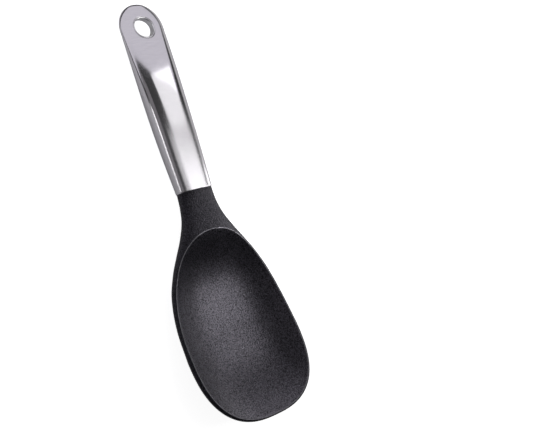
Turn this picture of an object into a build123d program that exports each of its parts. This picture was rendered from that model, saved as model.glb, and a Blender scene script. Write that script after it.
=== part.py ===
from build123d import *
import os
from math import cos, pi, radians, sin

# A rice paddle: a scooped nylon head whose ribbed tang is bonded into a hollow steel handle.
# Millimetres. +X runs along the handle towards the bowl's tip, +Y across it, +Z the way the bowl opens.
# The origin is on the ground that the bowl rests on, under the middle of the paddle's length.

# Lengths along the paddle, both measured from the mouth of the handle
handle_length = 107.9
head_length = 126.9
mouth_x = (handle_length - head_length) / 2

# Height of the handle's mouth above the ground
mouth_height = 9.9

# Handle: its width, and its rise above and belly below the seam
mouth_width = 21.5
mouth_rise = 5.6
mouth_belly = 5.6
grip_width = 24.4
grip_rise = 6.4
grip_belly = 7.5
tail_width = 26.8
tail_rise = 3.35
tail_belly = 1.3
nose_rise = 1.8
steel_thickness = 0.8
lip_radius = 0.5

# The seam is one flat plane, a little lower at the tail than at the mouth
seam_offset = 0.3
seam_drop = 1.9

# Hanging hole
hole_radius = 5.5
hole_to_tail = 14.4
sleeve_wall = 0.8
sleeve_lip_radius = 0.3
weld_gap = 0.05

# Head: the neck, and the bowl scooped out of it
neck_inset = 0.15
bowl_width = 72.0
widest_reach = 86.0
bowl_crown = 4.2
tip_lift = 13.3
tip_crown = 1.2
tip_depth = 1.3
rim_land = 1.6
tip_land = 1.2
scoop_reach = 22.7
scoop_depth = 9.3

# Tang inside the handle, and the adhesive round it
tang_length = 38.0
tang_core_width = 13.0
tang_core_height = 6.2
tang_round_share = 0.25
tang_collar = 3.0
tang_rib = 2.4
tang_rib_gap = 5.2
tang_clearance = 0.15
adhesive_tail = 3.0
bond_gap = 0.05

overrun = 30.0

# How far the curves of a section run on before they turn: 0.55 is an ellipse, and more is squarer
handle_curve_share = 0.75
bowl_curve_share = 0.665
# Roundness of the bowl's outline in plan: 2 is an ellipse, and more is squarer
heel_power = 2.15
tip_power = 2.6
# The scoop's section: how far its wall leans in, how deep it is there, and how wide its floor is
wall_lean_share = 0.3
wall_drop_share = 0.75
floor_share = 0.5
# How fast the scoop gets shallower towards each end
heel_fade_power = 3.2
tip_fade_power = 2.6
# How late the bowl's crown and its depth thin out towards the tip
tip_crown_power = 4
tip_depth_power = 2


def between(low, high, share):
    """The value that lies a share of the way from low to high."""
    return low + (high - low) * share


def along(shares, place):
    """A smooth curve through hand-chosen pairs of shares, read at one place."""
    rows = [shares[0], *shares, shares[-1]]
    index = 1
    while index < len(rows) - 3 and place > rows[index + 1][0]:
        index += 1
    before, start, end, after = rows[index - 1:index + 3]
    span = end[0] - start[0]
    start_slope = span * (end[1] - before[1]) / (end[0] - before[0])
    end_slope = span * (after[1] - start[1]) / (after[0] - start[0])
    t = (place - start[0]) / span
    rest = 1 - t
    return (
        start[1] * (1 + 2 * t) * rest ** 2
        + start_slope * t * rest ** 2
        + end[1] * (3 - 2 * t) * t ** 2
        - end_slope * rest * t ** 2
    )


def read(rows, index, place):
    """One column of a table of shares, read smoothly at one place."""
    return along([(row[0], row[index]) for row in rows], place)


def rounded(share, power):
    """What is left of the full size of a superellipse, a share of the way out to its end."""
    return (1 - share ** power) ** (1 / power)


def quarter(half_width, height, middle, curve):
    """Draws a quarter of a soft section, from its flank to its top, or to its underside."""
    Bezier(
        (half_width, middle),
        (half_width, middle + height * curve),
        (half_width * curve, middle + height),
        (0, middle + height),
    )


def soft_half(half_width, middle, rise, belly, curve):
    """Draws the right half of a soft section, closed along its middle."""
    quarter(half_width, rise, middle, curve)
    Line((0, middle + rise), (0, middle - belly))
    quarter(half_width, -belly, middle, curve)


def soft_loft(sections, curve):
    """A solid lofted through soft sections of place, half-width, middle, rise and belly."""
    with BuildPart() as form:
        for x, half_width, middle, rise, belly in sorted(sections):
            with BuildSketch(Plane.YZ.offset(x)):
                with BuildLine():
                    soft_half(half_width, middle, rise, belly, curve)
                make_face()
        loft()
        mirror(about=Plane.XZ)
    return form.part


# Handle
hole_x = mouth_x - handle_length + hole_to_tail
straight = handle_length - hole_to_tail
grip_share = 0.47
# Place along the way from the mouth to the grip, then shares of the change in width, rise and belly
front_shares = ((0, 0, 0, 0), (0.27, 0.31, 0.35, 0.54), (0.59, 0.65, 0.75, 0.96), (1, 1, 1, 1))
# The same along the way from the grip to the hanging hole
back_shares = ((0, 0, 0, 0), (0.36, 0.46, 0.17, 0.26), (0.69, 0.83, 0.54, 0.67), (1, 1, 1, 1))
handle_steps = 9
nose_steps = 8
nose_angle = 87
edge_start_share = 0.995
edge_power = 14


def seam_height(x):
    """Height of the seam above the ground at a place along the handle."""
    return mouth_height + seam_offset - seam_drop * (mouth_x - x) / handle_length


def handle_form(inset):
    """The outside of the handle, or the hollow inside it when inset by the steel."""
    sections = []
    for step in range(handle_steps):
        place = step / handle_steps
        x = mouth_x - straight * grip_share * place
        sections.append((
            x,
            between(mouth_width, grip_width, read(front_shares, 1, place)) / 2 - inset,
            seam_height(x),
            between(mouth_rise, grip_rise, read(front_shares, 2, place)) - inset,
            between(mouth_belly, grip_belly, read(front_shares, 3, place)) - inset,
        ))
    for step in range(handle_steps + 1):
        place = step / handle_steps
        x = mouth_x - straight * between(grip_share, 1, place)
        sections.append((
            x,
            between(grip_width, tail_width, read(back_shares, 1, place)) / 2 - inset,
            seam_height(x),
            between(grip_rise, tail_rise, read(back_shares, 2, place)) - inset,
            between(grip_belly, tail_belly, read(back_shares, 3, place)) - inset,
        ))
    for step in range(nose_steps):
        angle = radians(nose_angle * (step + 1) / nose_steps)
        out = sin(angle) / sin(radians(nose_angle))
        x = hole_x - (hole_to_tail - inset) * out
        thin = rounded(out * edge_start_share, edge_power)
        sections.append((
            x,
            (tail_width / 2 - inset) * cos(angle),
            seam_height(x),
            (between(tail_rise, nose_rise, out) - inset) * thin,
            (tail_belly - inset) * thin,
        ))
    return soft_loft(sections, handle_curve_share)


with BuildPart() as handle_outside:
    add(handle_form(0))
    fillet(handle_outside.faces().sort_by(Axis.X)[-1].edges(), radius=lip_radius)
handle_inside = handle_form(steel_thickness)
seam = Plane(
    origin=(mouth_x, 0, seam_height(mouth_x)),
    x_dir=(handle_length, 0, seam_drop),
    z_dir=(-seam_drop, 0, handle_length),
)


def handle_shell(side):
    """One stamped half of the handle, above or below the seam."""
    with BuildPart() as shell:
        add(handle_outside.part)
        add(handle_inside, mode=Mode.SUBTRACT)
        with BuildSketch(Plane.XY):
            with Locations((hole_x, 0)):
                Circle(hole_radius + sleeve_wall + weld_gap)
        extrude(amount=overrun, mode=Mode.SUBTRACT)
        split(bisect_by=seam, keep=side)
    return shell


handle_upper_shell = handle_shell(Keep.TOP)
handle_upper_shell.part.label = "handle_upper_shell"

handle_lower_shell = handle_shell(Keep.BOTTOM)
handle_lower_shell.part.label = "handle_lower_shell"

with BuildPart() as hanging_hole_sleeve:
    with BuildSketch(Plane.XY):
        with Locations((hole_x, 0)):
            Circle(hole_radius + sleeve_wall)
            Circle(hole_radius, mode=Mode.SUBTRACT)
    extrude(amount=overrun)
    add(handle_outside.part, mode=Mode.INTERSECT)
    bore = hanging_hole_sleeve.faces().filter_by(GeomType.CYLINDER).sort_by(SortBy.RADIUS)[0]
    fillet(bore.edges().filter_by(GeomType.LINE, reverse=True), radius=sleeve_lip_radius)
hanging_hole_sleeve.part.label = "hanging_hole_sleeve"

# Head
# Place along the way from the mouth to the widest section, the share of the growth in half-width, the
# middle's height above the mouth's as a share of the tip's lift, the share of the change from the neck's
# rise to the bowl's crown, and the keel's height as a share of the mouth's
body_shares = (
    (0, 0, 0.02, 0, 0.48),
    (0.09, 0.03, 0.02, 0, 0.47),
    (0.18, 0.10, 0.02, 0, 0.41),
    (0.28, 0.26, 0.005, 0, 0.30),
    (0.37, 0.445, -0.025, 0.15, 0.18),
    (0.465, 0.63, -0.06, 0.40, 0.08),
    (0.60, 0.82, -0.085, 0.75, 0.003),
    (0.79, 0.95, 0.02, 1, 0.045),
    (1, 1, 0.27, 1, 0.29),
)
body_steps = 14
tip_steps = 9
tip_angle = 85
# Place along the way from the widest section to the tip, and a height as a share of the tip's lift
tip_middle_shares = ((0, 0.27), (0.4, 0.53), (0.75, 0.76), (1, 0.905))
# Reach as a share of the head's length, and the rim's height as a share of the tip's lift
rim_shares = (
    (0.12, 0.46), (0.18, 0.45), (0.21, 0.385), (0.255, 0.225), (0.31, 0.09), (0.41, 0.023), (0.57, 0.15),
    (0.70, 0.39), (0.82, 0.645), (0.96, 0.94), (1, 1),
)
nose_share = 0.997
scoop_steps = 9
scoop_angle = 86


def rim_height(reach):
    """Height of the rim above the ground at a distance from the mouth."""
    return mouth_height + tip_lift * along(rim_shares, reach / head_length)


def neck_section(inset):
    """Half-width, rise and belly of the handle's mouth, inset all round."""
    return mouth_width / 2 - inset, mouth_rise - inset, mouth_belly - inset


def body_form():
    """The head's outside, from the neck's shoulder to the tip, before the bowl is scooped."""
    neck_half, neck_rise, _ = neck_section(neck_inset)
    sections = []
    for step in range(body_steps + 1):
        place = step / body_steps
        height = mouth_height + tip_lift * read(body_shares, 2, place)
        sections.append((
            mouth_x + widest_reach * place,
            between(neck_half, bowl_width / 2, read(body_shares, 1, place)),
            height,
            between(neck_rise, bowl_crown, read(body_shares, 3, place)),
            height - mouth_height * read(body_shares, 4, place),
        ))
    full_depth = sections[-1][4]
    for step in range(tip_steps):
        out = sin(radians(tip_angle * (step + 1) / tip_steps)) / sin(radians(tip_angle))
        sections.append((
            mouth_x + between(widest_reach, head_length, out),
            bowl_width / 2 * rounded(out * nose_share, tip_power),
            mouth_height + tip_lift * along(tip_middle_shares, out),
            between(bowl_crown, tip_crown, out ** tip_crown_power),
            between(tip_depth, full_depth, rounded(out, tip_depth_power)),
        ))
    return soft_loft(sections, bowl_curve_share)


def scoop_form():
    """What the bowl's hollow takes out of the head, open upwards."""
    half_width = bowl_width / 2 - rim_land
    tip_reach = head_length - tip_land
    with BuildPart() as form:
        for step in range(-scoop_steps, scoop_steps + 1):
            out = abs(sin(radians(scoop_angle * step / scoop_steps)))
            if step < 0:
                reach = between(widest_reach, scoop_reach, out)
                across = half_width * rounded(out, heel_power)
                depth = scoop_depth * (1 - out ** heel_fade_power)
            else:
                reach = between(widest_reach, tip_reach, out)
                across = half_width * rounded(out, tip_power)
                depth = scoop_depth * (1 - out ** tip_fade_power)
            level = rim_height(reach)
            with BuildSketch(Plane.YZ.offset(mouth_x + reach)):
                with BuildLine():
                    Bezier(
                        (across, level),
                        (across * (1 - wall_lean_share), level - depth * wall_drop_share),
                        (across * floor_share, level - depth),
                        (0, level - depth),
                    )
                    Polyline((0, level - depth), (0, overrun), (across, overrun), (across, level))
                make_face()
        loft()
        mirror(about=Plane.XZ)
    return form.part


def tang_form(extra):
    """The ribbed tang from the mouth back, or the room for it when grown by extra."""
    height = seam_height(mouth_x)
    half_width, rise, belly = neck_section(steel_thickness + tang_clearance - extra)
    with BuildPart() as tang:
        with BuildSketch(Plane.YZ.offset(mouth_x)):
            with Locations((0, height)):
                RectangleRounded(
                    tang_core_width + 2 * extra, tang_core_height + 2 * extra, tang_core_height * tang_round_share
                )
        extrude(amount=-tang_length - extra)
        place = 0
        thickness = tang_collar
        while place + thickness < tang_length:
            with BuildSketch(Plane.YZ.offset(mouth_x - place + extra)):
                with BuildLine():
                    soft_half(half_width, height, rise, belly, handle_curve_share)
                make_face()
                mirror(about=Plane.YZ)
            extrude(amount=-thickness - 2 * extra)
            place += thickness + tang_rib_gap
            thickness = tang_rib
    return tang.part


with BuildPart() as paddle_head:
    add(body_form())
    add(scoop_form(), mode=Mode.SUBTRACT)
    add(tang_form(0))
paddle_head.part.label = "paddle_head"

with BuildPart() as tang_adhesive:
    with BuildSketch(Plane.YZ.offset(mouth_x - tang_collar - bond_gap)):
        with Locations((0, mouth_height)):
            Rectangle(grip_width * 2, mouth_height * 2)
    extrude(amount=-(tang_length + adhesive_tail - tang_collar))
    add(handle_form(steel_thickness + bond_gap), mode=Mode.INTERSECT)
    add(tang_form(bond_gap), mode=Mode.SUBTRACT)
tang_adhesive.part.label = "tang_adhesive"

pieces = (handle_upper_shell, handle_lower_shell, hanging_hole_sleeve, paddle_head, tang_adhesive)
os.makedirs("parts", exist_ok=True)
for piece in pieces:
    export_step(piece.part, f"parts/{piece.part.label}.step")
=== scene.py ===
from math import cos, pi, radians, sin, sqrt, tan

import bmesh
import bpy
import numpy as np
from mathutils import Matrix, Vector
from mathutils.kdtree import KDTree


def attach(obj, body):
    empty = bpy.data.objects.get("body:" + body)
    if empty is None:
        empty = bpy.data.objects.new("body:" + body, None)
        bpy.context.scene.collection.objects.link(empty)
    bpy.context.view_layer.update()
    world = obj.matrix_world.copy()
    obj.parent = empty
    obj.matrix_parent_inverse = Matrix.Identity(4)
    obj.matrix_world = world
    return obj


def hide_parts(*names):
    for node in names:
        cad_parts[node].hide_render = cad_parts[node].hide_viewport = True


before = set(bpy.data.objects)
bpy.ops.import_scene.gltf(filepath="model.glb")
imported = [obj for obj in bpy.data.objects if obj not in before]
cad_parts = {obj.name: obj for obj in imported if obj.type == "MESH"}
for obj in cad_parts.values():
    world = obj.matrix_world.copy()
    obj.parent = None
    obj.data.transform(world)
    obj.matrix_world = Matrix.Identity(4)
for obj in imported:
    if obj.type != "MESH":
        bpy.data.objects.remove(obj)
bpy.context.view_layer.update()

# A rice paddle. Shapes are worked out in millimetres and stored in metres.
MM = 0.001

# Lengths, the same as in the part's source
handle_length = 107.9
head_length = 126.9
mouth_x = (handle_length - head_length) / 2
mouth_height = 9.9
mouth_width, mouth_rise, mouth_belly = 21.5, 5.6, 5.6
grip_width, grip_rise, grip_belly = 24.4, 6.4, 7.5
tail_width, tail_rise, tail_belly = 26.8, 3.35, 1.3
nose_rise = 1.8
steel_thickness = 0.8
seam_offset, seam_drop = 0.3, 1.9
hole_radius, hole_to_tail, sleeve_wall, weld_gap = 5.5, 14.4, 0.8, 0.05
neck_inset = 0.15
bowl_width, widest_reach, bowl_crown = 72.0, 86.0, 4.2
tip_lift, tip_crown, tip_depth = 13.3, 1.2, 1.3
rim_land, tip_land = 1.6, 1.2
scoop_reach, scoop_depth = 22.7, 9.3
handle_curve, bowl_curve = 0.75, 0.665
heel_power, tip_power = 2.15, 2.6
wall_lean, wall_drop, floor_share = 0.3, 0.75, 0.5
heel_fade, tip_fade = 3.2, 2.6
grip_share = 0.47
hole_x = mouth_x - handle_length + hole_to_tail
straight = handle_length - hole_to_tail


def between(low, high, share):
    return low + (high - low) * share


def smooth_curve(xs, ys):
    """A natural cubic spline through a few points, as a function of arrays."""
    xs, ys = np.array(xs, float), np.array(ys, float)
    n = len(xs)
    h = np.diff(xs)
    a = np.zeros((n, n))
    b = np.zeros(n)
    a[0, 0] = a[-1, -1] = 1
    for i in range(1, n - 1):
        a[i, i - 1:i + 2] = h[i - 1], 2 * (h[i - 1] + h[i]), h[i]
        b[i] = 6 * ((ys[i + 1] - ys[i]) / h[i] - (ys[i] - ys[i - 1]) / h[i - 1])
    m = np.linalg.solve(a, b)

    def value(x):
        x = np.asarray(x, float)
        i = np.clip(np.searchsorted(xs, x) - 1, 0, n - 2)
        u = x - xs[i]
        slope = (ys[i + 1] - ys[i]) / h[i] - h[i] * (2 * m[i] + m[i + 1]) / 6
        return ys[i] + slope * u + m[i] * u ** 2 / 2 + (m[i + 1] - m[i]) / (6 * h[i]) * u ** 3

    return value


def rounded(share, power):
    return np.maximum(0, 1 - np.abs(share) ** power) ** (1 / power)


def section_curve(second, third):
    """Height share of a section against the share of the way out to its flank, from its Bezier points."""
    q = np.linspace(0, 1, 6001) ** 2
    across = (1 - q) ** 3 + 3 * (1 - q) ** 2 * q * second[0] + 3 * (1 - q) * q ** 2 * third[0]
    up = 3 * (1 - q) ** 2 * q * second[1] + 3 * (1 - q) * q ** 2 * third[1] + q ** 3
    order = across[::-1], up[::-1]

    def value(share):
        return np.interp(np.abs(share), *order)

    return value


handle_section = section_curve((1, handle_curve), (handle_curve, 1))
bowl_section = section_curve((1, bowl_curve), (bowl_curve, 1))
scoop_section = section_curve((1 - wall_lean, wall_drop), (floor_share, 1))

# Handle: width, rise and belly against the distance behind the mouth
front_shares = ((0, 0, 0, 0), (0.27, 0.31, 0.35, 0.54), (0.59, 0.65, 0.75, 0.96))
back_shares = ((0, 0, 0, 0), (0.36, 0.46, 0.17, 0.26), (0.69, 0.83, 0.54, 0.67), (1, 1, 1, 1))
stations = []
for place, width, rise, belly in front_shares:
    stations.append((
        straight * grip_share * place,
        between(mouth_width, grip_width, width) / 2,
        between(mouth_rise, grip_rise, rise),
        between(mouth_belly, grip_belly, belly),
    ))
for place, width, rise, belly in back_shares:
    stations.append((
        straight * between(grip_share, 1, place),
        between(grip_width, tail_width, width) / 2,
        between(grip_rise, tail_rise, rise),
        between(grip_belly, tail_belly, belly),
    ))
columns = list(zip(*stations))
half_width_at, rise_at, belly_at = (smooth_curve(columns[0], columns[i]) for i in (1, 2, 3))


def handle_plan(x):
    """Half-width of the handle in plan."""
    back = mouth_x - np.asarray(x, float)
    out = np.clip((back - straight) / hole_to_tail, 0, 1)
    body = half_width_at(np.minimum(back, straight))
    return np.where(back < straight, body, tail_width / 2 * np.sqrt(1 - out ** 2))


def seam_height(x):
    return mouth_height + seam_offset - seam_drop * (mouth_x - x) / handle_length


# Length over which the tail's end rounds off
edge_round = 1.6


def handle_height(x, y, side):
    """Height of the handle's skin at a place in plan, above the seam (side 1) or below it (side -1)."""
    back = mouth_x - x
    out = np.clip((back - straight) / hole_to_tail, 0, 1)
    on_body = np.minimum(back, straight)
    if side > 0:
        full = np.where(back < straight, rise_at(on_body), between(tail_rise, nose_rise, out))
    else:
        full = np.where(back < straight, belly_at(on_body), tail_belly)
    to_end = np.clip(handle_length - back, 0, edge_round) / edge_round
    full = full * np.sqrt(np.maximum(0, 1 - (1 - to_end) ** 2))
    share = np.abs(y) / np.maximum(handle_plan(x), 1e-6)
    return seam_height(x) + side * full * handle_section(np.minimum(share, 1))


# Mesh helpers

def make_object(name, verts, faces, material, replaced):
    """A smooth object from millimetres and in place of some of the source's nodes."""
    mesh = bpy.data.meshes.new(name)
    mesh.from_pydata([tuple(c * MM for c in v) for v in verts], [], faces)
    mesh.validate()
    bm = bmesh.new()
    bm.from_mesh(mesh)
    bmesh.ops.remove_doubles(bm, verts=bm.verts, dist=2e-6)
    bmesh.ops.recalc_face_normals(bm, faces=bm.faces)
    for face in bm.faces:
        face.smooth = True
    bm.to_mesh(mesh)
    bm.free()
    obj = bpy.data.objects.new(name, mesh)
    bpy.context.scene.collection.objects.link(obj)
    obj.data.materials.append(material)
    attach(obj, "root")
    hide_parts(*replaced)
    return obj


def ring_faces(rings, closed=True):
    """Quads between rings of vertex numbers that all have the same count."""
    faces = []
    for a, b in zip(rings, rings[1:]):
        count = len(a)
        for i in range(count if closed else count - 1):
            j = (i + 1) % count
            faces.append((a[i], a[j], b[j], b[i]))
    return faces


class Net:
    """Vertices and faces of one mesh as it grows."""

    def __init__(self):
        self.verts = []
        self.faces = []

    def ring(self, points):
        start = len(self.verts)
        self.verts.extend(tuple(float(c) for c in p) for p in points)
        return list(range(start, len(self.verts)))

    def rings(self, loops, closed=True):
        numbers = [self.ring(points) for points in loops]
        self.faces.extend(ring_faces(numbers, closed))
        return numbers


# Materials

def material(name):
    mat = bpy.data.materials.new(name)
    mat.use_nodes = True
    nodes = mat.node_tree.nodes
    nodes.clear()
    out = nodes.new("ShaderNodeOutputMaterial")
    shader = nodes.new("ShaderNodeBsdfPrincipled")
    mat.node_tree.links.new(shader.outputs[0], out.inputs[0])
    return mat, nodes, mat.node_tree.links, shader


def ramp(nodes, stops, interpolation="LINEAR"):
    node = nodes.new("ShaderNodeValToRGB")
    node.color_ramp.interpolation = interpolation
    while len(node.color_ramp.elements) < len(stops):
        node.color_ramp.elements.new(0.5)
    for element, (place, colour) in zip(node.color_ramp.elements, stops):
        element.position = place
        element.color = (*colour, 1)
    return node


def grey(value):
    return (value, value, value)


def steel(name, satin):
    """Stainless steel with a fine cross grain; a satin one is darker, and rougher near the mouth."""
    polished_rough, satin_rough = 0.11, 0.24
    mat, nodes, links, shader = material(name)
    shader.inputs["Metallic"].default_value = 1
    place = nodes.new("ShaderNodeTexCoord")
    split = nodes.new("ShaderNodeSeparateXYZ")
    links.new(place.outputs["Object"], split.inputs[0])
    along_handle = nodes.new("ShaderNodeMapRange")
    along_handle.interpolation_type = "SMOOTHSTEP"
    along_handle.inputs["From Min"].default_value = (mouth_x - 60) * MM
    along_handle.inputs["From Max"].default_value = (mouth_x - 25) * MM
    along_handle.inputs["To Min"].default_value = polished_rough
    along_handle.inputs["To Max"].default_value = satin_rough if satin else polished_rough
    links.new(split.outputs[0], along_handle.inputs[0])
    stretch = nodes.new("ShaderNodeMapping")
    stretch.inputs["Scale"].default_value = (2500, 120, 120)
    links.new(place.outputs["Object"], stretch.inputs[0])
    grain = nodes.new("ShaderNodeTexNoise")
    grain.inputs["Scale"].default_value = 1.6
    grain.inputs["Detail"].default_value = 3
    links.new(stretch.outputs[0], grain.inputs["Vector"])
    wear = nodes.new("ShaderNodeMapRange")
    wear.inputs["From Min"].default_value = 0.3
    wear.inputs["From Max"].default_value = 0.7
    wear.inputs["To Min"].default_value = -0.015
    wear.inputs["To Max"].default_value = 0.03
    links.new(grain.outputs["Fac"], wear.inputs[0])
    total = nodes.new("ShaderNodeMath")
    total.operation = "ADD"
    links.new(along_handle.outputs[0], total.inputs[0])
    links.new(wear.outputs[0], total.inputs[1])
    links.new(total.outputs[0], shader.inputs["Roughness"])
    if satin:
        tint = ramp(nodes, ((0.3, (0.555, 0.54, 0.565)), (0.7, (0.605, 0.59, 0.615))))
    else:
        tint = ramp(nodes, ((0.3, (0.62, 0.615, 0.63)), (0.7, (0.68, 0.675, 0.69))))
    links.new(grain.outputs["Fac"], tint.inputs[0])
    links.new(tint.outputs[0], shader.inputs["Base Color"])
    bump = nodes.new("ShaderNodeBump")
    bump.inputs["Strength"].default_value = 0.05
    bump.inputs["Distance"].default_value = 0.00001
    links.new(grain.outputs["Fac"], bump.inputs["Height"])
    links.new(bump.outputs[0], shader.inputs["Normal"])
    return mat


def nylon(name, dark, pale, level, sparkle, roughness, grain):
    """Black nylon with a fine sandblasted skin.

    Its two tints, its shine and the shine's spread, its roughness and its grain's height in metres.
    """
    mat, nodes, links, shader = material(name)
    place = nodes.new("ShaderNodeTexCoord")
    speckle = nodes.new("ShaderNodeTexNoise")
    speckle.inputs["Scale"].default_value = 1450
    speckle.inputs["Detail"].default_value = 3
    speckle.inputs["Roughness"].default_value = 0.6
    links.new(place.outputs["Object"], speckle.inputs["Vector"])
    tint = ramp(nodes, ((0.38, dark), (0.62, pale)))
    links.new(speckle.outputs["Fac"], tint.inputs[0])
    links.new(tint.outputs[0], shader.inputs["Base Color"])
    patch = nodes.new("ShaderNodeTexNoise")
    patch.inputs["Scale"].default_value = 90
    patch.inputs["Detail"].default_value = 2
    links.new(place.outputs["Object"], patch.inputs["Vector"])
    rough = nodes.new("ShaderNodeMapRange")
    rough.inputs["To Min"].default_value = roughness - 0.05
    rough.inputs["To Max"].default_value = roughness + 0.05
    links.new(patch.outputs["Fac"], rough.inputs[0])
    links.new(rough.outputs[0], shader.inputs["Roughness"])
    glint = nodes.new("ShaderNodeMapRange")
    glint.inputs["From Min"].default_value = 0.35
    glint.inputs["From Max"].default_value = 0.65
    glint.inputs["To Min"].default_value = level * (1 - sparkle)
    glint.inputs["To Max"].default_value = level * (1 + sparkle)
    links.new(speckle.outputs["Fac"], glint.inputs[0])
    links.new(glint.outputs[0], shader.inputs["Specular IOR Level"])
    shader.inputs["Specular Tint"].default_value = (0.92, 0.87, 1.0, 1)
    bump = nodes.new("ShaderNodeBump")
    bump.inputs["Strength"].default_value = 0.9
    bump.inputs["Distance"].default_value = grain
    links.new(speckle.outputs["Fac"], bump.inputs["Height"])
    links.new(bump.outputs[0], shader.inputs["Normal"])
    return mat


def adhesive_look(name):
    mat, nodes, links, shader = material(name)
    place = nodes.new("ShaderNodeTexCoord")
    cloud = nodes.new("ShaderNodeTexNoise")
    cloud.inputs["Scale"].default_value = 160
    links.new(place.outputs["Object"], cloud.inputs["Vector"])
    tint = ramp(nodes, ((0.3, (0.50, 0.44, 0.32)), (0.7, (0.60, 0.55, 0.42))))
    links.new(cloud.outputs["Fac"], tint.inputs[0])
    links.new(tint.outputs[0], shader.inputs["Base Color"])
    shader.inputs["Roughness"].default_value = 0.35
    return mat


handle_steel = steel("handle_steel", True)
sleeve_steel = steel("sleeve_steel", False)
nylon_dark, nylon_pale = (0.002, 0.002, 0.0025), (0.020, 0.0193, 0.026)
head_nylon = nylon("head_nylon", nylon_dark, nylon_pale, 0.34, 0.45, 0.36, 0.00045)
bowl_nylon = nylon("bowl_nylon", nylon_dark, nylon_pale, 1.20, 0.75, 0.29, 0.00019)
# The rim's round gets a far paler tint than the black skin: a painted highlight along the rim's edge
rim_painted_highlight = nylon("rim_painted_highlight", (0.12, 0.12, 0.128), (0.16, 0.16, 0.168), 1.0, 0.2, 0.26, 0.0001)
adhesive_material = adhesive_look("adhesive")

# Handle shells

hole_edge = hole_radius + sleeve_wall + weld_gap
tail_reach = 16.0
tail_start = hole_x + tail_reach
across_steps = 72
lip_round, lip_steps = 0.5, 4
inside_depth = 6.0
# Depth below the skin and way in, for each loop of the hole's turned-in edge
hole_turn_in = ((0.35, 0.02), (0.06, 0.0))


def across_shares(count):
    """Shares from one flank to the other, closer together near the flanks."""
    return [sin(pi / 2 * (2 * i / count - 1)) for i in range(count + 1)]


def shell(name, side, node):
    """One stamped half: its skin, the mouth's lip with a short way inside it, and the hole's edge."""
    net = Net()
    shares = across_shares(across_steps)

    def skin_row(x, inset=0.0):
        y = np.array(shares) * (handle_plan(x) - inset)
        full = handle_height(np.full_like(y, x), np.array(shares) * handle_plan(x), side) - seam_height(x)
        scale = 1 - inset / max(abs(full).max(), 1e-6)
        return [(x, yy, seam_height(x) + f * scale) for yy, f in zip(y, full)]

    # Mouth's lip, then the straight part of the skin
    rows = []
    for i in range(lip_steps + 1):
        turn = pi / 2 * i / lip_steps
        rows.append(skin_row(mouth_x - lip_round * (1 - cos(turn)), lip_round * (1 - sin(turn))))
    first = mouth_x - lip_round
    body_steps = 110
    for i in range(1, body_steps + 1):
        rows.append(skin_row(between(first, tail_start, i / body_steps)))
    numbers = [net.ring(row) for row in rows]
    net.faces.extend(ring_faces(numbers, closed=False))
    # End face at the mouth, in to the steel's inside
    inner = net.ring(skin_row(mouth_x, steel_thickness))
    net.faces.extend(ring_faces([inner, numbers[0]], closed=False))
    deeper = net.ring(skin_row(mouth_x - inside_depth, steel_thickness))
    net.faces.extend(ring_faces([deeper, inner], closed=False))
    # Tail: rings from the hole's edge out to the plan outline
    outline = []
    for share in shares:
        outline.append((tail_start, share * float(handle_plan(tail_start))))
    flank = 26
    for i in range(1, flank + 1):
        x = between(tail_start, hole_x, i / flank)
        outline.append((x, float(handle_plan(x))))
    nose = 96
    for i in range(1, nose):
        a = pi * i / nose
        outline.append((hole_x - hole_to_tail * sin(a), tail_width / 2 * cos(a)))
    for i in range(flank + 1):
        x = between(hole_x, tail_start, i / flank)
        outline.append((x, -float(handle_plan(x))))
    outline.pop()
    outline = np.array(outline)
    angles = np.arctan2(outline[:, 1], outline[:, 0] - hole_x)
    hole = np.c_[hole_x + hole_edge * np.cos(angles), hole_edge * np.sin(angles)]
    ring_steps = 34
    loops = []
    for k in range(ring_steps + 1):
        t = sin(pi / 2 * k / ring_steps)
        plan = hole + (outline - hole) * t
        z = handle_height(plan[:, 0], plan[:, 1], side)
        if k == ring_steps:
            on_front = np.arange(len(plan)) <= across_steps
            z = np.where(on_front, z, seam_height(plan[:, 0]))
        loops.append(np.c_[plan, z])
    # A small turned-in edge round the hole
    edge = []
    for depth, inward in hole_turn_in:
        z = handle_height(hole[:, 0], hole[:, 1], side) - side * depth
        edge.append(np.c_[hole[:, 0] - inward * np.cos(angles), hole[:, 1] - inward * np.sin(angles), z])
    net.rings(edge + loops)
    make_object(name, net.verts, net.faces, handle_steel, (node,))


shell("upper_shell", 1, "handle_upper_shell")
shell("lower_shell", -1, "handle_lower_shell")


# Sleeve through the hanging hole

def sleeve():
    net = Net()
    count = 128
    angles = np.linspace(0, 2 * pi, count, endpoint=False)

    def loop(radius, side, drop=0.0):
        x = hole_x + radius * np.cos(angles)
        y = radius * np.sin(angles)
        at_x = hole_x + max(radius, hole_radius) * np.cos(angles)
        z = handle_height(at_x, y, side) - side * drop
        return np.c_[x, y, z]

    outer = hole_radius + sleeve_wall
    sunk, corner_drop, corner_in = 1.0, 0.10, 0.08
    lip, lip_turns = 0.55, 7

    def half(side):
        """Loops of one side, from the outer wall over the lip to the bore."""
        loops = [loop(outer, side, sunk), loop(outer, side, corner_drop), loop(outer - corner_in, side)]
        for i in range(lip_turns + 1):
            turn = pi / 2 * i / lip_turns
            loops.append(loop(hole_radius + lip * (1 - sin(turn)), side, lip * (1 - cos(turn))))
        return loops

    loops = half(1) + half(-1)[::-1]
    loops.append(loops[0])
    net.rings(loops)
    replaced = ("hanging_hole_sleeve",)
    make_object("hole_sleeve", net.verts, net.faces, sleeve_steel, replaced)


sleeve()

# Head

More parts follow.
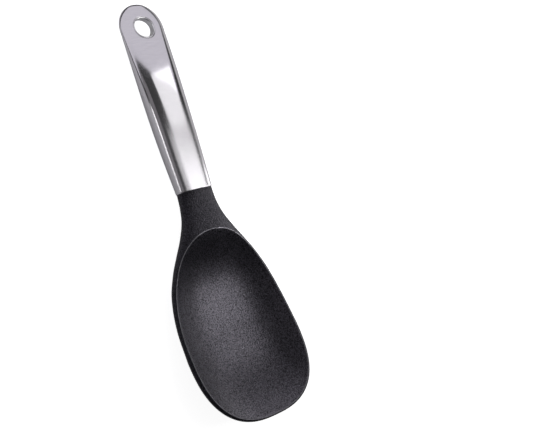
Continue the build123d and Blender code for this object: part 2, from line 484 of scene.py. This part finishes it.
body_shares = (
    (0, 0, 0.02, 0, 0.48),
    (0.09, 0.03, 0.02, 0, 0.47),
    (0.18, 0.10, 0.02, 0, 0.41),
    (0.28, 0.26, 0.005, 0, 0.30),
    (0.37, 0.445, -0.025, 0.15, 0.18),
    (0.465, 0.63, -0.06, 0.40, 0.08),
    (0.60, 0.82, -0.085, 0.75, 0.003),
    (0.79, 0.95, 0.02, 1, 0.045),
    (1, 1, 0.27, 1, 0.29),
)
tip_middle_shares = ((0, 0.27), (0.4, 0.53), (0.75, 0.76), (1, 0.905))
rim_shares = (
    (0.12, 0.46), (0.18, 0.45), (0.21, 0.385), (0.255, 0.225), (0.31, 0.09), (0.41, 0.023), (0.57, 0.15),
    (0.70, 0.39), (0.82, 0.645), (0.96, 0.94), (1, 1),
)


def along(shares, place):
    """The source's own smooth curve through pairs of shares."""
    rows = [shares[0], *shares, shares[-1]]
    index = 1
    while index < len(rows) - 3 and place > rows[index + 1][0]:
        index += 1
    before, start, end, after = rows[index - 1:index + 3]
    span = end[0] - start[0]
    start_slope = span * (end[1] - before[1]) / (end[0] - before[0])
    end_slope = span * (after[1] - start[1]) / (after[0] - start[0])
    t = (place - start[0]) / span
    rest = 1 - t
    return (start[1] * (1 + 2 * t) * rest ** 2 + start_slope * t * rest ** 2
            + end[1] * (3 - 2 * t) * t ** 2 - end_slope * rest * t ** 2)


def head_section(reach):
    """Half-width, middle's height, rise and depth of the head's body at a distance from the mouth."""
    neck_half = mouth_width / 2 - neck_inset
    neck_rise = mouth_rise - neck_inset
    if reach <= widest_reach:
        place = reach / widest_reach
        values = [along([(row[0], row[i]) for row in body_shares], place) for i in (1, 2, 3, 4)]
        middle = mouth_height + tip_lift * values[1]
        return (
            between(neck_half, bowl_width / 2, values[0]),
            middle,
            between(neck_rise, bowl_crown, values[2]),
            middle - mouth_height * values[3],
        )
    out = min(1, (reach - widest_reach) / (head_length - widest_reach))
    last = body_shares[-1]
    full_depth = mouth_height + tip_lift * last[2] - mouth_height * last[4]
    half = bowl_width / 2 * float(rounded(out, tip_power))
    middle = mouth_height + tip_lift * along(tip_middle_shares, out)
    rise = between(bowl_crown, tip_crown, out ** 4)
    depth = between(tip_depth, full_depth, float(rounded(out, 2)))
    to_end = min(1, (head_length - reach) / tip_land)
    fade = sqrt(max(0, 1 - (1 - to_end) ** 2))
    return half, middle, rise * fade, depth * fade


tip_span = 2
near_tip = head_length - tip_span * np.cos(np.linspace(0, pi / 2, 200)[1:])
reaches = np.r_[np.linspace(0, head_length - tip_span, 500), near_tip]
reaches = np.unique(np.clip(reaches, 0, head_length))
table = np.array([head_section(r) for r in reaches])

waist_dip, waist_end, waist_power = 1.5, 21.5, 0.8


def body_height(x, y, side):
    reach = x - mouth_x
    half, middle, rise, depth = (np.interp(reach, reaches, table[:, i]) for i in range(4))
    # The neck's top dips a little between the handle and the bowl
    rise = rise - waist_dip * np.sin(pi * np.clip(reach / waist_end, 0, 1) ** waist_power)
    share = np.clip(np.abs(y) / np.maximum(half, 1e-6), 0, 1)
    return middle + np.where(side > 0, rise, -depth) * bowl_section(share)


def scoop_plan(angle):
    """A point of the scoop's outline in plan: 0 at the widest place, +90 at the tip and -90 at the heel."""
    out = np.abs(np.sin(angle))
    half = bowl_width / 2 - rim_land
    tip = np.sin(angle) >= 0
    reach = between(widest_reach, np.where(tip, head_length - tip_land, scoop_reach), out)
    across = half * np.where(tip, rounded(out, tip_power), rounded(out, heel_power))
    return np.stack([mouth_x + reach, across], axis=-1)


def scoop_height(x, y):
    reach = x - mouth_x
    tip = reach >= widest_reach
    out = np.where(
        tip,
        (reach - widest_reach) / (head_length - tip_land - widest_reach),
        (widest_reach - reach) / (widest_reach - scoop_reach),
    )
    out = np.clip(out, 0, 1)
    across = (bowl_width / 2 - rim_land) * np.where(tip, rounded(out, tip_power), rounded(out, heel_power))
    fade = np.where(tip, 1 - out ** tip_fade, 1 - out ** heel_fade)
    rim = body_height(x, across, 1)
    lifts = np.array([along(rim_shares, float(r) / head_length) for r in np.ravel(reach)])
    level = mouth_height + tip_lift * lifts.reshape(np.shape(reach))
    floor = level - scoop_depth * fade
    share = np.clip(np.abs(y) / np.maximum(across, 1e-6), 0, 1)
    return rim - (rim - floor) * scoop_section(share)


rim_out, rim_in, rim_turns = 0.25, 0.25, 4


def head():
    net = Net()
    tip_count, side_count, neck_count, end_count = 70, 60, 44, 22
    # Share of the way to the heel up to which the rim's points pair with the side's
    last_out = 0.853
    outline, rim = [], []
    for i in range(tip_count):
        a = pi / 2 * (1 - i / tip_count)
        reach = between(widest_reach, head_length, sin(a))
        outline.append((mouth_x + reach, bowl_width / 2 * float(rounded(sin(a), tip_power))))
        rim.append(scoop_plan(np.array(a)))
    for i in range(side_count):
        out = last_out * i / side_count
        reach = between(widest_reach, scoop_reach, out)
        outline.append((mouth_x + reach, head_section(reach)[0]))
        rim.append(scoop_plan(np.array(-np.arcsin(out))))
    # The rest of the rim's heel, by even steps along its arc
    turns = -np.linspace(np.arcsin(last_out), pi / 2, 400)
    arc = scoop_plan(turns)
    lengths = np.r_[0, np.cumsum(np.hypot(*np.diff(arc, axis=0).T))]
    heel_count = neck_count + end_count
    for i in range(heel_count + 1):
        at = lengths[-1] * i / heel_count
        rim.append(np.array([np.interp(at, lengths, arc[:, 0]), np.interp(at, lengths, arc[:, 1])]))
    last_reach = between(widest_reach, scoop_reach, last_out)
    for i in range(neck_count):
        reach = last_reach * (1 - i / neck_count)
        outline.append((mouth_x + reach, head_section(reach)[0]))
    for i in range(end_count + 1):
        outline.append((mouth_x, head_section(0)[0] * cos(pi / 2 * i / end_count)))
    outline, rim = np.array(outline), np.array(rim)
    # The other side, without the two points on the middle
    outline = np.vstack([outline, (outline * (1, -1))[-2:0:-1]])
    rim = np.vstack([rim, (rim * (1, -1))[-2:0:-1]])
    land_steps, dish_steps, under_steps = 26, 70, 70
    centre = np.array([mouth_x + between(scoop_reach, widest_reach, 0.75), 0])
    # The rim's edge: a soft round between the land outside it and the scoop's wall
    run = np.roll(rim, -1, axis=0) - np.roll(rim, 1, axis=0)
    away = np.c_[run[:, 1], -run[:, 0]] / np.hypot(run[:, 0], run[:, 1])[:, None]
    away *= np.sign(np.sum(away * (rim - centre), axis=1))[:, None]
    land_edge, wall_edge = rim + away * rim_out, rim - away * rim_in
    corner = np.c_[rim, body_height(rim[:, 0], rim[:, 1], 1)]
    first = np.c_[land_edge, body_height(land_edge[:, 0], land_edge[:, 1], 1)]
    last = np.c_[wall_edge, scoop_height(wall_edge[:, 0], wall_edge[:, 1])]
    loops = []
    for k in range(land_steps, 0, -1):
        t = sin(pi / 2 * k / land_steps)
        plan = land_edge + (outline - land_edge) * t
        loops.append(np.c_[plan, body_height(plan[:, 0], plan[:, 1], 1)])
    rim_loops = []
    for k in range(rim_turns + 1):
        t = k / rim_turns
        rim_loops.append(first * (1 - t) ** 2 + corner * 2 * t * (1 - t) + last * t ** 2)
    dish = []
    for k in range(dish_steps - 1, 0, -1):
        t = sin(pi / 2 * k / dish_steps)
        plan = centre + (wall_edge - centre) * t
        dish.append(np.c_[plan, scoop_height(plan[:, 0], plan[:, 1])])
    numbers = net.rings(loops + rim_loops + dish)
    low = net.ring([(centre[0], 0, float(scoop_height(np.array([centre[0]]), np.array([0.0]))[0]))])[0]
    inner = numbers[-1]
    for i in range(len(inner)):
        net.faces.append((inner[i], inner[(i + 1) % len(inner)], low))
    under = []
    for k in range(under_steps, 0, -1):
        t = sin(pi / 2 * k / under_steps)
        plan = centre + (outline - centre) * t
        under.append(np.c_[plan, body_height(plan[:, 0], plan[:, 1], -1)])
    below = net.rings(under)
    net.faces.extend(ring_faces([below[0], numbers[0]]))
    bottom = net.ring([(centre[0], 0, float(body_height(np.array([centre[0]]), np.array([0.0]), -1)[0]))])[0]
    inner = below[-1]
    for i in range(len(inner)):
        net.faces.append((inner[(i + 1) % len(inner)], inner[i], bottom))
    obj = make_object("head", net.verts, net.faces, head_nylon, ("paddle_head",))

    def touched(points):
        """Which of the head's vertices lie on the points."""
        tree = KDTree(len(points))
        for i, point in enumerate(points):
            tree.insert(Vector(point) * MM, i)
        tree.balance()
        return [tree.find(v.co)[2] < 1e-6 for v in obj.data.vertices]

    # The rim's round has a paler tint than the skin outside the bowl, a painted highlight along the rim's
    # edge, and the bowl is smoother
    on_rim_highlight, on_dish = touched(np.vstack(rim_loops)), touched(np.vstack(dish))
    obj.data.materials.append(rim_painted_highlight)
    obj.data.materials.append(bowl_nylon)
    for polygon in obj.data.polygons:
        if all(on_rim_highlight[i] for i in polygon.vertices):
            polygon.material_index = 1
        elif any(on_dish[i] for i in polygon.vertices):
            polygon.material_index = 2


head()

# Adhesive stays as the source has it
glue = bpy.data.objects.get("tang_adhesive")
if glue:
    glue.data.materials.clear()
    glue.data.materials.append(adhesive_material)

# Camera, fitted to the photograph
focal_pixels = 820.0
pixel_mm = 0.545
image_width, image_height = 533, 435
lean, tip_in, roll, photo_turn = radians(35.5), radians(1.5), radians(-1.0), radians(16.6)
mouth_pixel = (194.0, 191.0)
turned = np.array([
    [0, cos(lean), sin(lean)],
    [1, 0, 0],
    [0, sin(lean), -cos(lean)],
])
tip_matrix = np.array([[1, 0, 0], [0, cos(tip_in), sin(tip_in)], [0, -sin(tip_in), cos(tip_in)]])
roll_matrix = np.array([[cos(roll), -sin(roll), 0], [sin(roll), cos(roll), 0], [0, 0, 1]])
photo_matrix = np.array([
    [cos(photo_turn), sin(photo_turn), 0],
    [-sin(photo_turn), cos(photo_turn), 0],
    [0, 0, 1],
])
to_camera = photo_matrix @ roll_matrix @ tip_matrix @ turned
depth_mm = focal_pixels * pixel_mm
offset = np.array([
    (mouth_pixel[0] - image_width / 2) * pixel_mm,
    (mouth_pixel[1] - image_height / 2) * pixel_mm,
    depth_mm,
])
mouth = np.array([mouth_x, 0, mouth_height])
eye = mouth - to_camera.T @ offset
right, down, forward = to_camera
camera_data = bpy.data.cameras.new("camera")
camera_data.sensor_width = 36
camera_data.lens = camera_data.sensor_width * focal_pixels / image_width
camera = bpy.data.objects.new("camera", camera_data)
rotation = Matrix((right, -down, -forward)).transposed()
camera.matrix_world = Matrix.Translation(Vector(eye) * MM) @ rotation.to_4x4()
bpy.context.scene.collection.objects.link(camera)
bpy.context.scene.camera = camera

# Floor: bright to the camera, dim in reflections, and it still takes the object's shadow
bpy.ops.mesh.primitive_plane_add(size=20, location=(0, 0, 0))
floor = bpy.context.object
floor.name = "floor"
floor_glow, mirror_share = 0.9, 0.1
mat, nodes, links, shader = material("floor")
shader.inputs["Base Color"].default_value = (0.82, 0.82, 0.83, 1)
shader.inputs["Roughness"].default_value = 1.0
shader.inputs["Specular IOR Level"].default_value = 0.0
glow = nodes.new("ShaderNodeEmission")
glow.inputs["Color"].default_value = (1, 1, 1, 1)
path = nodes.new("ShaderNodeLightPath")
either = nodes.new("ShaderNodeMath")
either.operation = "MAXIMUM"
links.new(path.outputs["Is Camera Ray"], either.inputs[0])
mirrored = nodes.new("ShaderNodeMath")
mirrored.operation = "MULTIPLY"
mirrored.inputs[1].default_value = mirror_share
links.new(path.outputs["Is Glossy Ray"], mirrored.inputs[0])
links.new(mirrored.outputs[0], either.inputs[1])
seen = nodes.new("ShaderNodeMath")
seen.operation = "MULTIPLY"
seen.inputs[1].default_value = floor_glow
links.new(either.outputs[0], seen.inputs[0])
links.new(seen.outputs[0], glow.inputs["Strength"])
both = nodes.new("ShaderNodeAddShader")
links.new(shader.outputs[0], both.inputs[0])
links.new(glow.outputs[0], both.inputs[1])
output = next(n for n in nodes if n.type == "OUTPUT_MATERIAL")
links.new(both.outputs[0], output.inputs[0])
floor.data.materials.append(mat)

# World: a dim grey studio, a little lighter overhead
world = bpy.data.worlds.new("studio")
bpy.context.scene.world = world
world.use_nodes = True
nodes, links = world.node_tree.nodes, world.node_tree.links
background = nodes["Background"]
place = nodes.new("ShaderNodeTexCoord")
split = nodes.new("ShaderNodeSeparateXYZ")
links.new(place.outputs["Generated"], split.inputs[0])
height = ramp(nodes, ((0.0, grey(0.05)), (0.5, grey(0.05)), (1.0, grey(0.07))))
links.new(split.outputs[2], height.inputs[0])
links.new(height.outputs[0], background.inputs[0])
background.inputs[1].default_value = 1.0


def softbox(
    name, across_angle, along_angle, distance, half_across, half_along, glow,
    colour=(1, 1, 1), start=(0, 0, 0),
):
    """A softbox in a direction from a start: degrees from overhead towards -Y, then towards +X."""
    a, b = radians(across_angle), radians(along_angle)
    way = Vector((sin(b), -cos(b) * sin(a), cos(b) * cos(a)))
    data = bpy.data.lights.new(name, "AREA")
    data.shape = "RECTANGLE"
    data.size = 2 * distance * tan(radians(half_along))
    data.size_y = 2 * distance * tan(radians(half_across))
    data.energy = glow * pi * data.size * data.size_y
    data.color = colour
    obj = bpy.data.objects.new(name, data)
    side = Vector((1, 0, 0))
    up = way.cross(side).normalized()
    side = up.cross(way).normalized()
    facing = Matrix((side, up, way)).transposed().to_4x4()
    obj.matrix_world = Matrix.Translation(Vector(start) + way * distance) @ facing
    obj.visible_camera = False
    bpy.context.scene.collection.objects.link(obj)


softbox("key", -33.5, 3.5, 0.80, 16.5, 13, 2.35)
softbox("key_edge", -6, 7, 0.85, 11, 11, 0.3)
softbox("mouth_card", -6, -5, 0.09, 14, 14, 0.7, start=(-0.025, 0, 0.02))
softbox("grip_card", -33, -19, 0.10, 18, 15, 1.3, start=(-0.055, 0, 0.02))
softbox("tail_card", 12, -39.5, 0.15, 62, 21.5, 0.85, (0.95, 0.93, 1.0), (-0.095, 0, 0.012))
softbox("band_card", 48, -4, 0.80, 18, 18, 0.2, (1, 0.95, 1))
softbox("low_card", 80, -6, 0.12, 6, 16, 2.6, start=(-0.03, 0, 0.012))
softbox("far_card", -79, -18, 1.00, 11, 36, 0.62)
softbox("edge_card", -73, -2, 0.12, 11, 12, 2.2, start=(0.0, 0, 0.012))
softbox("neck_card", -60, 2, 0.05, 14, 14, 3.8, start=(0.014, 0, 0.012))

bpy.context.scene.view_settings.view_transform = "Standard"
